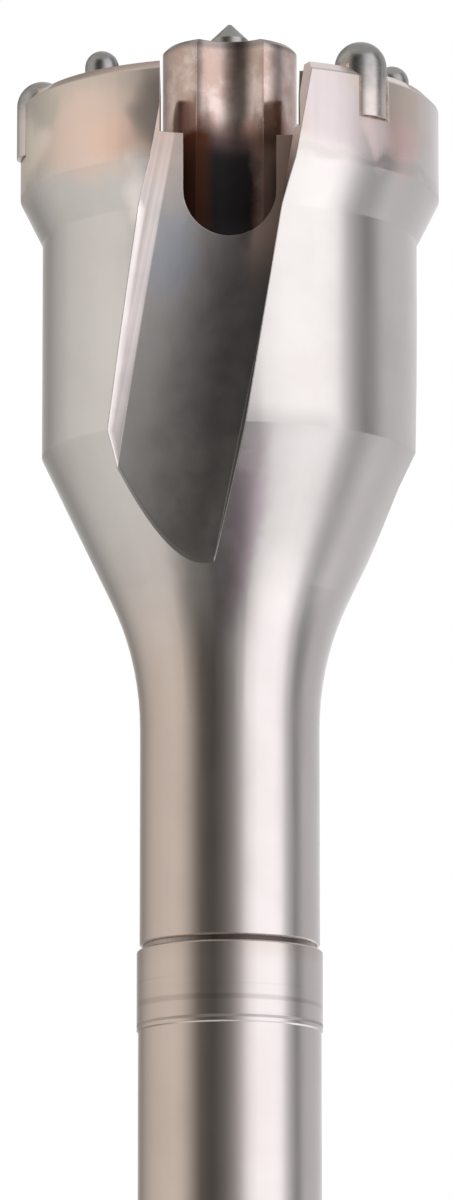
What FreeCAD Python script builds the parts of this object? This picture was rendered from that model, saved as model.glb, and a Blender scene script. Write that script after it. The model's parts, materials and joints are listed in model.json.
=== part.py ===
import FreeCAD, Part
import math
import os
import re

import Sketcher
from FreeCAD import Placement, Rotation, Vector

# Masonry drill bit with a three-lobed crown head on a long shank.
# Millimetres. The shank's end face stands at the origin and the tip points up (+Z).
# Azimuths are in degrees from the front (-Y), positive towards the right (+X).

os.makedirs("parts", exist_ok=True)
doc = FreeCAD.newDocument("masonry_drill_bit")

# Driving dimensions: name, value, meaning
DIMENSIONS = [
    ("overall_length", 380, "shank end face to the point of the centre carbide"),
    ("tip_reach", 9.1, "centre carbide's point above the crown's rim"),
    ("crown_diameter", 44.8, "steel collar of the crown"),
    ("crown_height", 10.5, "straight part of the collar"),
    ("crown_taper_height", 4.8, "taper from the collar to the body"),
    ("rim_chamfer", 1.0, "outer edge of the rim"),
    ("body_diameter", 40, "fluted body behind the crown"),
    ("body_reach", 38.6, "rim to the lower end of the body"),
    ("cone_angle", 25.6, "half angle of the cone between body and neck"),
    ("blend_radius", 32, "hollow between cone and neck"),
    ("neck_diameter", 19, "round neck of the head"),
    ("seam_depth", 91, "rim to the weld between head and shaft"),
    ("lobe_count", 3, "lobes, flutes and chip pockets round the crown"),
    ("flute_lead", 758, "one full turn of the right-hand flutes"),
    ("flute_length", 56, "rim to below the flutes' run-out on the cone"),
    ("flute_overcut", 4, "cutting profile outside the collar and above the rim"),
    ("land_azimuth", 21.5, "left edge of a flute on the body, at the rim"),
    ("land_outer_azimuth", 11.2, "left edge of a flute outside the collar, at the rim"),
    ("bevel_inset", 2.1, "body to the foot of the flute's left bevel, at the rim"),
    ("bevel_fade", 0.4, "depth that the bevel loses towards its lower end"),
    ("bevel_azimuth", 14, "foot of the left bevel at the rim"),
    ("bevel_turn", 8, "turn of the bevel's foot beyond the helix, down to its lower end"),
    ("floor_radius", 38, "hollow of the flute's floor"),
    ("corner_inset", 4.8, "collar to the flute's deep corner, at the rim"),
    ("corner_drop", 4.7, "depth that the corner gains towards its lower end"),
    ("corner_azimuth", 26.3, "deep corner of a flute at the rim"),
    ("corner_turn", 10.4, "turn of the corner beyond the helix, down to its lower end"),
    ("mouth_azimuth", 23, "right edge of a flute at the rim"),
    ("pocket_width", 9.8, "round-bottomed chip pocket and round-ended groove in the stud"),
    ("pocket_depth", 17.8, "rim to the pocket's bottom"),
    ("slot_depth", 7, "rim to the floor of the wider slots between the stud's wings"),
    ("braze_gap", 0.15, "filler between a pressed-in piece and its socket"),
    ("braze_fillet", 0.5, "filler standing round a piece at its socket's mouth"),
    ("stud_diameter", 14.4, "circle round the centre stud's three wings"),
    ("stud_core_radius", 4.7, "steel left between the axis and the stud's grooves"),
    ("stud_reach", 6, "stud's flat top above the rim"),
    ("stud_chamfer", 0.4, "edge of the stud's flat top"),
    ("stud_foot_diameter", 9.6, "stud's foot in its bore"),
    ("stud_foot_length", 10, "foot below the pocket's bottom"),
    ("tip_diameter", 4, "centre carbide"),
    ("tip_socket_depth", 6, "centre carbide's socket in the stud"),
    ("tip_angle", 92, "included angle of the centre carbide's point"),
    ("tip_round", 0.4, "rounding of the centre carbide's point"),
    ("gauge_pin_diameter", 5.5, "outer carbide pins"),
    ("gauge_pin_inset", 2.15, "collar to the circle of the outer pins' axes"),
    ("gauge_pin_azimuth", 43, "outer pin of the right-hand lobe"),
    ("gauge_pin_reach", 3.3, "outer pins' domed tops above the rim"),
    ("gauge_socket_depth", 5.2, "outer pins' sockets"),
    ("left_pin_turn", 4, "outer pin of the left lobe, further back than the others"),
    ("left_pin_drop", 1.4, "outer pin of the left lobe, lower than the others"),
    ("inner_pin_diameter", 3.6, "inner carbide pins"),
    ("inner_pin_inset", 4.2, "collar to the circle of the inner pins' axes"),
    ("inner_pin_azimuth", 72, "inner pin of the right-hand lobe"),
    ("inner_pin_reach", 3.0, "inner pins' domed tops above the rim"),
    ("inner_socket_depth", 5, "inner pins' sockets"),
    ("seam_diameter", 18.4, "bottom of the dark line at the weld"),
    ("seam_width", 0.5, "height of the dark line"),
    ("seam_chamfer", 0.2, "edges beside the dark line"),
    ("band_diameter", 19.6, "ground band under the weld"),
    ("band_length", 8.5, "height of the ground band"),
    ("bar_diameter", 19.3, "drawn bar of the shaft"),
    ("shank_diameter", 18, "shank that the hammer's chuck takes"),
    ("shank_length", 118, "end face to the shank's upper end"),
    ("shank_taper_height", 2.5, "taper between shank and bar"),
    ("end_chamfer", 1.5, "edge of the shank's end face"),
    ("spline_width", 5, "open driving splines"),
    ("spline_depth", 2.9, "open driving splines, below the shank's surface"),
    ("spline_length", 57, "end face to the splines' upper ends"),
    ("spline_run_out", 8, "radius of the splines' upper ends"),
    ("rear_spline_azimuth", 35, "the two rear splines, either side of the back"),
    ("lock_groove_diameter", 8, "round-bottomed closed locking grooves"),
    ("lock_groove_depth", 2.7, "locking grooves, below the shank's surface"),
    ("lock_groove_start", 18, "end face to a locking groove"),
    ("lock_groove_length", 27, "locking grooves, end to end"),
]

sheet = doc.addObject("Spreadsheet::Sheet", "Sizes")
for row, (alias, number, meaning) in enumerate(DIMENSIONS, start=1):
    sheet.set(f"A{row}", meaning)
    sheet.set(f"B{row}", str(number))
    sheet.setAlias(f"B{row}", alias)
doc.recompute()

# Heights and radii that several pieces share
RIM = "(overall_length - tip_reach)"
BODY_END = f"({RIM} - body_reach)"
POCKET_FLOOR = f"({RIM} - pocket_depth)"
SEAM_TOP = f"({RIM} - seam_depth)"
SEAM_BOTTOM = f"({SEAM_TOP} - seam_width)"
CROWN_RADIUS = "(crown_diameter / 2)"
BODY_RADIUS = "(body_diameter / 2)"
NECK_RADIUS = "(neck_diameter / 2)"
CORNER_CIRCLE = f"({CROWN_RADIUS} - corner_inset)"
GAUGE_CIRCLE = f"({CROWN_RADIUS} - gauge_pin_inset)"
INNER_CIRCLE = f"({CROWN_RADIUS} - inner_pin_inset)"
SHANK_RADIUS = "(shank_diameter / 2)"
STUD_RADIUS = "(stud_diameter / 2)"
STUD_CLEARANCE = f"({STUD_RADIUS} + braze_gap)"
STUD_BORE_RADIUS = "(stud_foot_diameter / 2 + braze_gap)"
STUD_FOOT_DEPTH = "(pocket_depth + stud_foot_length)"
TIP_RADIUS = "(tip_diameter / 2)"
FLUTE_SECTIONS = 5
LOBES = range(int(sheet.lobe_count))


def on_sheet(expression):
    """The expression with every size's name pointing at its cell."""
    return re.sub(r"\b[a-z]+(?:_[a-z]+)+\b", lambda word: "Sizes." + word.group(), expression)


def value(expression):
    """The number that an expression of the sizes gives now."""
    return float(sheet.evalExpression(on_sheet(expression)))


def polar(radius, azimuth):
    """Both coordinates of a point at a radius and an azimuth from the front."""
    return f"{radius} * sin({azimuth})", f"-{radius} * cos({azimuth})"


def new_body(name):
    body = doc.addObject("PartDesign::Body", name)
    body.Label = name
    return body


def origin_part(body, role):
    return next(item for item in body.Origin.OriginFeatures if item.Role == role)


def new_sketch(body, name, role, height=None):
    """A sketch on one of the body's own origin planes, lifted to a height if one is given."""
    sketch = body.newObject("Sketcher::SketchObject", name)
    sketch.AttachmentSupport = [(origin_part(body, role), "")]
    sketch.MapMode = "FlatFace"
    if height:
        sketch.AttachmentOffset = Placement(Vector(0, 0, value(height)), Rotation())
        sketch.setExpression(".AttachmentOffset.Base.z", on_sheet(height))
    return sketch


def pin_point(sketch, geometry, end, x, y):
    """Hold one end of a sketch's line at two expressions of the sizes."""
    for axis, kind, expression in ((-2, "DistanceX", x), (-1, "DistanceY", y)):
        if expression == "0":
            sketch.addConstraint(Sketcher.Constraint("PointOnObject", geometry, end, axis))
            continue
        held = Sketcher.Constraint(kind, -1, 1, geometry, end, value(expression))
        number = sketch.addConstraint(held)
        sketch.setExpression(f"Constraints[{number}]", on_sheet(expression))


def hold_radius(sketch, geometry, radius):
    number = sketch.addConstraint(Sketcher.Constraint("Radius", geometry, value(radius)))
    sketch.setExpression(f"Constraints[{number}]", on_sheet(radius))


def bowed(start, end, radius, side):
    """Arc from start to end that bows out to the left (side 1) or right (side -1) of its way."""
    chord = end - start
    left = Vector(-chord.y, chord.x, 0).normalize()
    sag = radius - math.sqrt(radius ** 2 - (chord.Length / 2) ** 2)
    middle = (start + end) / 2 + left * (side * sag)
    return Part.Arc(end, middle, start) if side == 1 else Part.Arc(start, middle, end)


def outline(sketch, corners):
    """Closed outline through corners (x, y); (x, y, radius, side) starts an arc instead of a line."""
    points = [Vector(value(corner[0]), value(corner[1]), 0) for corner in corners]
    first_ends = []
    for index, corner in enumerate(corners):
        start = points[index]
        end = points[(index + 1) % len(points)]
        if len(corner) == 2:
            edge = Part.LineSegment(start, end)
        else:
            edge = bowed(start, end, value(corner[2]), corner[3])
        geometry = sketch.addGeometry(edge, False)
        # an arc runs anticlockwise, so either of its ends can be the first on the outline
        same_way = sketch.Geometry[geometry].StartPoint.distanceToPoint(start) < 1e-6
        first_ends.append(1 if same_way else 2)
    for index, corner in enumerate(corners):
        before = index - 1 if index else len(corners) - 1
        meet = Sketcher.Constraint("Coincident", before, 3 - first_ends[before], index, first_ends[index])
        sketch.addConstraint(meet)
        pin_point(sketch, index, first_ends[index], corner[0], corner[1])
    for index, corner in enumerate(corners):
        if len(corner) > 2:
            hold_radius(sketch, index, corner[2])


def circle(sketch, x, y, radius):
    ring = Part.Circle(Vector(value(x), value(y), 0), Vector(0, 0, 1), value(radius))
    geometry = sketch.addGeometry(ring, False)
    pin_point(sketch, geometry, 3, x, y)
    hold_radius(sketch, geometry, radius)


def revolve(body, corners):
    """Turn an outline of (radius, height) corners about the body's own vertical axis."""
    sketch = new_sketch(body, "TurnedProfile", "XZ_Plane")
    outline(sketch, corners)
    turned = body.newObject("PartDesign::Revolution", "Turned")
    turned.Profile = sketch
    turned.ReferenceAxis = (origin_part(body, "Z_Axis"), [""])
    turned.Angle = 360
    return turned


def drill(body, name, x, y, radius, depth):
    """Round socket sunk from the crown's rim."""
    sketch = new_sketch(body, name + "Circle", "XY_Plane", RIM)
    circle(sketch, x, y, radius)
    socket = body.newObject("PartDesign::Pocket", name)
    socket.Profile = sketch
    socket.Type = "Length"
    socket.setExpression("Length", on_sheet(depth))
    return socket


def pattern_round(body, name, features):
    """Repeat features once for each lobe."""
    pattern = body.newObject("PartDesign::PolarPattern", name)
    pattern.Originals = features
    pattern.Axis = (origin_part(body, "Z_Axis"), [""])
    pattern.Angle = 360
    pattern.setExpression("Occurrences", "Sizes.lobe_count")
    body.Tip = pattern
    return pattern


def flute_section(body, number):
    """Flute profile at one height, turned back by the helix: left bevel, hollow floor, right wall."""
    share = number / (FLUTE_SECTIONS - 1)
    depth = f"({share} * (flute_length + flute_overcut) - flute_overcut)"
    turn = f"360 * {depth} / flute_lead"
    sketch = new_sketch(body, f"FluteSection{number + 1}", "XY_Plane", f"{RIM} - {depth}")
    reach = f"({CROWN_RADIUS} + flute_overcut)"
    bevel_circle = f"({BODY_RADIUS} - bevel_inset + bevel_fade * {share})"
    corner_circle = f"({CORNER_CIRCLE} - corner_drop * {share ** 2})"
    outline(sketch, [
        polar(reach, f"-land_outer_azimuth - {turn}"),
        polar(BODY_RADIUS, f"-land_azimuth - {turn}"),
        polar(bevel_circle, f"-bevel_azimuth - bevel_turn * {share} - {turn}") + ("floor_radius", 1),
        polar(corner_circle, f"corner_azimuth - corner_turn * {share ** 3} - {turn}"),
        polar(BODY_RADIUS, f"mouth_azimuth - {turn}"),
        polar(reach, f"mouth_azimuth - {turn}"),
    ])
    return sketch


def cut_flute(body):
    """One helical flute, lofted through its turned sections."""
    sections = [flute_section(body, number) for number in range(FLUTE_SECTIONS)]
    flute = body.newObject("PartDesign::SubtractiveLoft", "Flute")
    flute.Profile = sections[0]
    flute.Sections = sections[1:]
    flute.Ruled = False
    return flute


def cut_chip_pocket(body):
    """Slot as wide as the stud, from the axis out to the front, with a round-bottomed one below it."""
    sketch = new_sketch(body, "ChipPocketOutline", "XZ_Plane")
    top = f"({RIM} + flute_overcut)"
    half = "(pocket_width / 2)"
    shoulder = f"({POCKET_FLOOR} + {half})"
    step = f"({RIM} - slot_depth)"
    outline(sketch, [
        (STUD_CLEARANCE, top),
        (f"-{STUD_CLEARANCE}", top),
        (f"-{STUD_CLEARANCE}", step),
        (f"-{half}", step),
        (f"-{half}", shoulder, half, -1),
        ("0", POCKET_FLOOR, half, -1),
        (half, shoulder),
        (half, step),
        (STUD_CLEARANCE, step),
    ])
    pocket = body.newObject("PartDesign::Pocket", "ChipPocket")
    pocket.Profile = sketch
    pocket.Type = "Length"
    pocket.setExpression("Length", on_sheet("crown_diameter"))
    pocket.Reversed = True
    return pocket


def on_lobe(azimuth, lobe):
    """Azimuth on the right-hand lobe, turned on to another lobe."""
    return f"{azimuth} + 360 * {lobe} / lobe_count"


def gauge_pin_place(lobe):
    """Azimuth of a lobe's outer pin, and how much lower than the others it stands."""
    if lobe == LOBES[-1]:
        return on_lobe("gauge_pin_azimuth - left_pin_turn", lobe), "left_pin_drop"
    return on_lobe("gauge_pin_azimuth", lobe), "0"


def build_head():
    """Crown, fluted body, cone and neck, with every socket of the crown."""
    head = new_body("head_body")
    cone_corner = f"{BODY_END} - ({BODY_RADIUS} - {NECK_RADIUS}) / tan(cone_angle)"
    taper_top = f"{RIM} - crown_height"
    tangent = "(blend_radius * tan(cone_angle / 2))"
    revolve(head, [
        ("0", SEAM_TOP),
        (f"{NECK_RADIUS} - seam_chamfer", SEAM_TOP),
        (NECK_RADIUS, f"{SEAM_TOP} + seam_chamfer"),
        (NECK_RADIUS, f"{cone_corner} - {tangent}", "blend_radius", 1),
        (f"{NECK_RADIUS} + {tangent} * sin(cone_angle)", f"{cone_corner} + {tangent} * cos(cone_angle)"),
        (BODY_RADIUS, BODY_END),
        (BODY_RADIUS, f"{taper_top} - crown_taper_height"),
        (CROWN_RADIUS, taper_top),
        (CROWN_RADIUS, f"{RIM} - rim_chamfer"),
        (f"{CROWN_RADIUS} - rim_chamfer", RIM),
        ("0", RIM),
    ])
    flute = cut_flute(head)
    pocket = cut_chip_pocket(head)
    pattern_round(head, "FlutesRound", [flute, pocket])
    drill(head, "StudClearance", "0", "0", STUD_CLEARANCE, "pocket_depth")
    drill(head, "StudBore", "0", "0", STUD_BORE_RADIUS, f"{STUD_FOOT_DEPTH} + braze_gap")
    inner_x, inner_y = polar(INNER_CIRCLE, "inner_pin_azimuth")
    inner = drill(head, "InnerSocket", inner_x, inner_y, "inner_pin_diameter / 2 + braze_gap",
                  "inner_socket_depth + braze_gap")
    pattern_round(head, "InnerSocketsRound", [inner])
    for lobe in LOBES:
        azimuth, drop = gauge_pin_place(lobe)
        gauge_x, gauge_y = polar(GAUGE_CIRCLE, azimuth)
        gauge = drill(head, f"GaugeSocket{lobe + 1}", gauge_x, gauge_y, "gauge_pin_diameter / 2 + braze_gap",
                      f"gauge_socket_depth + {drop} + braze_gap")
    head.Tip = gauge
    return head


def own_axis(sketch, start, end):
    """Turning axis inside a sketch, held to the ends (geometry, end) of its outline's edges."""
    first, last = (sketch.getPoint(*place) for place in (start, end))
    line = sketch.addGeometry(Part.LineSegment(first, last), True)
    sketch.addConstraint(Sketcher.Constraint("Coincident", line, 1, *start))
    sketch.addConstraint(Sketcher.Constraint("Coincident", line, 2, *end))
    return (sketch, ["Axis0"])


def cut_stud_groove(stud, top):
    """Ball-ended upright groove in the front of the stud, running out in the chip pocket's floor."""
    sketch = new_sketch(stud, "StudGrooveProfile", "YZ_Plane")
    ball = "(pocket_width / 2)"
    middle = f"-(stud_core_radius + {ball})"
    mouth = f"{top} + flute_overcut"
    outline(sketch, [
        (middle, mouth),
        (middle, POCKET_FLOOR, ball, -1),
        (f"{middle} + {ball}", f"{POCKET_FLOOR} + {ball}"),
        (f"{middle} + {ball}", mouth),
    ])
    groove = stud.newObject("PartDesign::Groove", "StudGroove")
    groove.Profile = sketch
    groove.ReferenceAxis = own_axis(sketch, (0, 1), (0, 2))
    groove.Angle = 360
    return groove


def build_pilot_stud():
    """Stud with three wings between its grooves, a shoulder on the pockets' floor and a plain foot."""
    stud = new_body("pilot_stud")
    foot_radius = "(stud_foot_diameter / 2)"
    shoulder = f"{POCKET_FLOOR} + braze_gap"
    top = f"{RIM} + stud_reach"
    socket_floor = f"{top} - tip_socket_depth - braze_gap"
    revolve(stud, [
        ("0", f"{RIM} - {STUD_FOOT_DEPTH}"),
        (foot_radius, f"{RIM} - {STUD_FOOT_DEPTH}"),
        (foot_radius, shoulder),
        (STUD_RADIUS, shoulder),
        (STUD_RADIUS, f"{top} - stud_chamfer"),
        (f"{STUD_RADIUS} - stud_chamfer", top),
        (f"{TIP_RADIUS} + braze_gap", top),
        (f"{TIP_RADIUS} + braze_gap", socket_floor),
        ("0", socket_floor),
    ])
    groove = cut_stud_groove(stud, top)
    pattern_round(stud, "StudGroovesRound", [groove])
    return stud


def build_pilot_braze():
    """Filler under and round the stud's foot, and under its shoulder."""
    braze = new_body("pilot_braze")
    foot_radius = "(stud_foot_diameter / 2)"
    foot = f"{RIM} - {STUD_FOOT_DEPTH}"
    shoulder = f"{POCKET_FLOOR} + braze_gap"
    revolve(braze, [
        ("0", f"{foot} - braze_gap"),
        (STUD_BORE_RADIUS, f"{foot} - braze_gap"),
        (STUD_BORE_RADIUS, POCKET_FLOOR),
        (STUD_RADIUS, POCKET_FLOOR),
        (STUD_RADIUS, shoulder),
        (foot_radius, shoulder),
        (foot_radius, foot),
        ("0", foot),
    ])
    return braze


def build_centre_tip():
    """Carbide pin with a blunt rounded point."""
    tip = new_body("centre_tip")
    foot = f"{RIM} + stud_reach - tip_socket_depth"
    round_radius = "(tip_round * cos(tip_angle / 2))"
    round_low = "(overall_length - tip_round * (1 - sin(tip_angle / 2)))"
    shoulder = f"{round_low} - ({TIP_RADIUS} - {round_radius}) / tan(tip_angle / 2)"
    revolve(tip, [
        ("0", foot),
        (TIP_RADIUS, foot),
        (TIP_RADIUS, shoulder),
        (round_radius, round_low, "tip_round", -1),
        ("0", "overall_length"),
    ])
    return tip


def filler_cup(name, radius, floor, mouth):
    """Filler under and round a pin, with a small fillet at its socket's mouth."""
    cup = new_body(name)
    revolve(cup, [
        ("0", f"{floor} - braze_gap"),
        (f"{radius} + braze_gap", f"{floor} - braze_gap"),
        (f"{radius} + braze_gap", mouth),
        (f"{radius} + braze_gap + braze_fillet", mouth),
        (radius, f"{mouth} + braze_gap + braze_fillet"),
        (radius, floor),
        ("0", floor),
    ])
    return cup


def build_centre_tip_braze():
    top = f"{RIM} + stud_reach"
    return filler_cup("centre_tip_braze", TIP_RADIUS, f"{top} - tip_socket_depth", top)


def build_pin(name, radius, foot_depth, reach):
    """Carbide pin with a domed top, standing on its socket's filler."""
    pin = new_body(name)
    foot = f"{RIM} - {foot_depth}"
    top = f"{RIM} + {reach}"
    revolve(pin, [
        ("0", foot),
        (radius, foot),
        (radius, f"{top} - {radius}", radius, -1),
        ("0", top),
    ])
    return pin


def stand_at(piece, circle_radius, azimuth):
    """Put a turned piece on its circle."""
    x, y = polar(circle_radius, azimuth)
    piece.setExpression("Placement.Base.x", on_sheet(x))
    piece.setExpression("Placement.Base.y", on_sheet(y))
    return piece


def build_crown_blank():
    """Shape of the crown before cutting, which the outer filler is dressed flush with."""
    blank = new_body("crown_blank")
    rim_radius = f"{CROWN_RADIUS} - rim_chamfer"
    revolve(blank, [
        ("0", f"{RIM} - crown_height"),
        (CROWN_RADIUS, f"{RIM} - crown_height"),
        (CROWN_RADIUS, f"{RIM} - rim_chamfer"),
        (rim_radius, RIM),
        (rim_radius, f"{RIM} + stud_reach"),
        ("0", f"{RIM} + stud_reach"),
    ])
    return blank


def build_pins():
    """One outer and one inner carbide pin on each lobe, each with its filler."""
    blank = build_crown_blank()
    pieces = []
    gauge_radius = "(gauge_pin_diameter / 2)"
    inner_radius = "(inner_pin_diameter / 2)"
    for lobe in LOBES:
        number = lobe + 1
        azimuth, drop = gauge_pin_place(lobe)
        depth = f"(gauge_socket_depth + {drop})"
        gauge = build_pin(f"gauge_insert_{number}", gauge_radius, depth, f"(gauge_pin_reach - {drop})")
        inner = build_pin(f"inner_insert_{number}", inner_radius, "inner_socket_depth", "inner_pin_reach")
        cup = filler_cup(f"gauge_cup_{number}", gauge_radius, f"{RIM} - {depth}", RIM)
        inner_cup = filler_cup(f"inner_braze_{number}", inner_radius, f"{RIM} - inner_socket_depth", RIM)
        for piece in (gauge, cup):
            stand_at(piece, GAUGE_CIRCLE, azimuth)
        for piece in (inner, inner_cup):
            stand_at(piece, INNER_CIRCLE, on_lobe("inner_pin_azimuth", lobe))
        dressed = doc.addObject("Part::Common", f"gauge_braze_{number}")
        dressed.Label = f"gauge_braze_{number}"
        dressed.Base = cup
        dressed.Tool = blank
        pieces += [gauge, dressed, inner, inner_cup]
    return pieces


def build_weld_seam():
    """Disc of fused metal whose edge lies below the surface as a dark line."""
    seam = doc.addObject("Part::Cylinder", "weld_seam")
    seam.Label = "weld_seam"
    seam.setExpression("Radius", "Sizes.seam_diameter / 2")
    seam.setExpression("Height", "Sizes.seam_width")
    seam.setExpression("Placement.Base.z", on_sheet(SEAM_BOTTOM))
    return seam


def cut_spline(shaft, number, turn):
    """Driving spline open at the end face, run out at its upper end in the cutter's radius.

    turn is in degrees about the axis, from the right (+X) through the back (+Y).
    """
    sketch = new_sketch(shaft, f"SplineProfile{number}", "XZ_Plane")
    sketch.AttachmentOffset = Placement(Vector(), Rotation(Vector(0, 1, 0), value(turn)))
    sketch.setExpression(".AttachmentOffset.Rotation.Angle", on_sheet(turn))
    floor = f"({SHANK_RADIUS} - spline_depth)"
    outside = f"({SHANK_RADIUS} + spline_depth)"
    outline(sketch, [
        (floor, "-end_chamfer"),
        (outside, "-end_chamfer"),
        (outside, "spline_length"),
        (f"{floor} + spline_run_out", "spline_length", "spline_run_out", -1),
        (floor, "spline_length - spline_run_out"),
    ])
    spline = shaft.newObject("PartDesign::Pocket", f"Spline{number}")
    spline.Profile = sketch
    spline.Midplane = True
    spline.Type = "Length"
    spline.setExpression("Length", "Sizes.spline_width")
    return spline


def cut_lock_groove(shaft, number, side):
    """Closed round-bottomed locking groove with ball ends, turned about its own centre line."""
    sketch = new_sketch(shaft, f"LockGrooveProfile{number}", "XZ_Plane")
    ball = "(lock_groove_diameter / 2)"
    centre = f"{side} * ({SHANK_RADIUS} - lock_groove_depth + {ball})"
    low = "lock_groove_start"
    high = "(lock_groove_start + lock_groove_length)"
    wall = f"({centre} - {side} * {ball})"
    outline(sketch, [
        (centre, high),
        (centre, low, ball, side),
        (wall, f"{low} + {ball}"),
        (wall, f"{high} - {ball}", ball, side),
    ])
    groove = shaft.newObject("PartDesign::Groove", f"LockGroove{number}")
    groove.Profile = sketch
    groove.ReferenceAxis = own_axis(sketch, (0, 2), (0, 1))
    groove.Angle = 360
    return groove


def build_shaft():
    """Bar with the ground band under the weld and the splined shank at its end."""
    shaft = new_body("shaft")
    band_radius = "(band_diameter / 2)"
    bar_radius = "(bar_diameter / 2)"
    band_end = f"{SEAM_BOTTOM} - band_length"
    step = f"({band_radius} - {bar_radius})"
    revolve(shaft, [
        ("0", "0"),
        (f"{SHANK_RADIUS} - end_chamfer", "0"),
        (SHANK_RADIUS, "end_chamfer"),
        (SHANK_RADIUS, "shank_length"),
        (bar_radius, "shank_length + shank_taper_height"),
        (bar_radius, f"{band_end} - {step}"),
        (band_radius, band_end),
        (band_radius, f"{SEAM_BOTTOM} - seam_chamfer"),
        (f"{band_radius} - seam_chamfer", SEAM_BOTTOM),
        ("0", SEAM_BOTTOM),
    ])
    for number, turn in enumerate(("270", "90 - rear_spline_azimuth", "90 + rear_spline_azimuth"), 1):
        cut_spline(shaft, number, turn)
    for number, side in enumerate((1, -1), 1):
        cut_lock_groove(shaft, number, side)
    return shaft


def failed(piece):
    return any(word in state for state in piece.State for word in ("Invalid", "Error"))


pieces = [build_head(), build_pilot_stud(), build_pilot_braze(), build_centre_tip(),
          build_centre_tip_braze(), *build_pins(), build_weld_seam(), build_shaft()]
doc.recompute()

for item in doc.Objects:
    if failed(item):
        raise RuntimeError(f"{item.Label} did not recompute: {item.State}")
for piece in pieces:
    if piece.Shape.isNull() or not piece.Shape.isValid():
        raise RuntimeError(f"{piece.Label} has no valid shape")

for piece in pieces:
    piece.Shape.exportStep(os.path.join("parts", piece.Label + ".step"))
    print(f"{piece.Label}: {len(piece.Shape.Solids)} solid, {piece.Shape.Volume:.1f} mm3")
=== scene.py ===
import json
import math

import bpy
import numpy as np
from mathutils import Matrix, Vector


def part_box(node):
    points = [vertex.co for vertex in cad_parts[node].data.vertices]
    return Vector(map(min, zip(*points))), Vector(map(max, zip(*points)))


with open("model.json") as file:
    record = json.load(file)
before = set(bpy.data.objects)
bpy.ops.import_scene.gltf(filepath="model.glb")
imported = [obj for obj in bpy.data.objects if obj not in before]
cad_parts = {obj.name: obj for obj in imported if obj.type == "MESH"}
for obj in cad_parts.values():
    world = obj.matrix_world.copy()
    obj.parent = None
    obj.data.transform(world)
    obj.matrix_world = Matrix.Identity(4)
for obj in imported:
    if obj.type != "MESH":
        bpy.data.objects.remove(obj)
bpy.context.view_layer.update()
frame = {"nodes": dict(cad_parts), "record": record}
nodes = frame["nodes"]
mm = 0.001
print("frame loaded:", len(nodes), "nodes")

# Heights and radii that the finishes follow, read from the frame (metres, +Z up the bit)
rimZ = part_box("head_body")[1].z
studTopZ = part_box("pilot_stud")[1].z
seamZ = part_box("weld_seam")[1].z
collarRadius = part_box("head_body")[1].x
print("rim at", round(rimZ, 5), "weld at", round(seamZ, 5))


# Small helpers for node trees

def newMaterial(name):
    material = bpy.data.materials.new(name)
    material.use_nodes = True
    material.node_tree.nodes.clear()
    return material, material.node_tree


# A node with its settings, and its inputs set to numbers or joined to other nodes' outputs
def addNode(tree, kind, inputs=None, **settings):
    node = tree.nodes.new(kind)
    for key, setting in settings.items():
        setattr(node, key, setting)
    for key, entry in (inputs or {}).items():
        socket = node.inputs[key]
        if isinstance(entry, bpy.types.NodeSocket):
            tree.links.new(entry, socket)
        else:
            socket.default_value = entry
    return node


def calc(tree, operation, *terms):
    return addNode(tree, "ShaderNodeMath", dict(enumerate(terms)), operation=operation).outputs[0]


def product(tree, first, *others):
    for other in others:
        first = calc(tree, "MULTIPLY", first, other)
    return first


def rangeOf(tree, value, low, high, newLow=0.0, newHigh=1.0, smooth=True):
    kind = "SMOOTHSTEP" if smooth else "LINEAR"
    node = addNode(tree, "ShaderNodeMapRange",
                   {"Value": value, "From Min": low, "From Max": high, "To Min": newLow, "To Max": newHigh},
                   interpolation_type=kind)
    return node.outputs["Result"]


# One inside low..high, falling to nothing over the soft edge at either end
def bandOf(tree, value, low, high, soft):
    rising = rangeOf(tree, value, low - soft, low)
    falling = rangeOf(tree, value, high, high + soft, 1.0, 0.0)
    return product(tree, rising, falling)


def blendValue(tree, share, first, second):
    return addNode(tree, "ShaderNodeMix", {0: share, 2: first, 3: second}).outputs[0]


def blendColour(tree, share, first, second, how="MIX"):
    node = addNode(tree, "ShaderNodeMix", data_type="RGBA", blend_type=how)
    for socket, entry in ((node.inputs[0], share), (node.inputs[6], first), (node.inputs[7], second)):
        if isinstance(entry, bpy.types.NodeSocket):
            tree.links.new(entry, socket)
        elif isinstance(entry, tuple):
            socket.default_value = (*entry, 1)
        else:
            socket.default_value = entry
    return node.outputs[2]


def noiseOf(tree, vector, scale, detail):
    inputs = {"Vector": vector, "Scale": scale, "Detail": detail, "Roughness": 0.55}
    return addNode(tree, "ShaderNodeTexNoise", inputs).outputs["Fac"]


def stretched(tree, vector, scale):
    return addNode(tree, "ShaderNodeVectorMath", {0: vector, 1: scale}, operation="MULTIPLY").outputs[0]


# Colours along a value from 0 to 1: a list of (place, colour)
def rampOf(tree, value, stops):
    node = addNode(tree, "ShaderNodeValToRGB", {"Fac": value})
    elements = node.color_ramp.elements
    for element, (place, colour) in ((elements[0], stops[0]), (elements[1], stops[-1])):
        element.position = place
        element.color = (*colour, 1)
    for place, colour in stops[1:-1]:
        elements.new(place).color = (*colour, 1)
    return node.outputs["Color"]


# Object coordinates, their parts, the distance from the bit's axis, the azimuth in degrees from the front
# and the depth below the rim
def placeOf(tree):
    coordinate = addNode(tree, "ShaderNodeTexCoord").outputs["Object"]
    parts = addNode(tree, "ShaderNodeSeparateXYZ", {0: coordinate}).outputs
    squares = calc(tree, "ADD", product(tree, parts[0], parts[0]), product(tree, parts[1], parts[1]))
    radius = calc(tree, "SQRT", squares)
    turn = calc(tree, "ARCTAN2", parts[0], product(tree, parts[1], -1.0))
    azimuth = product(tree, turn, 180 / math.pi)
    depth = calc(tree, "SUBTRACT", rimZ, parts[2])
    return coordinate, parts, radius, azimuth, depth


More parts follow.
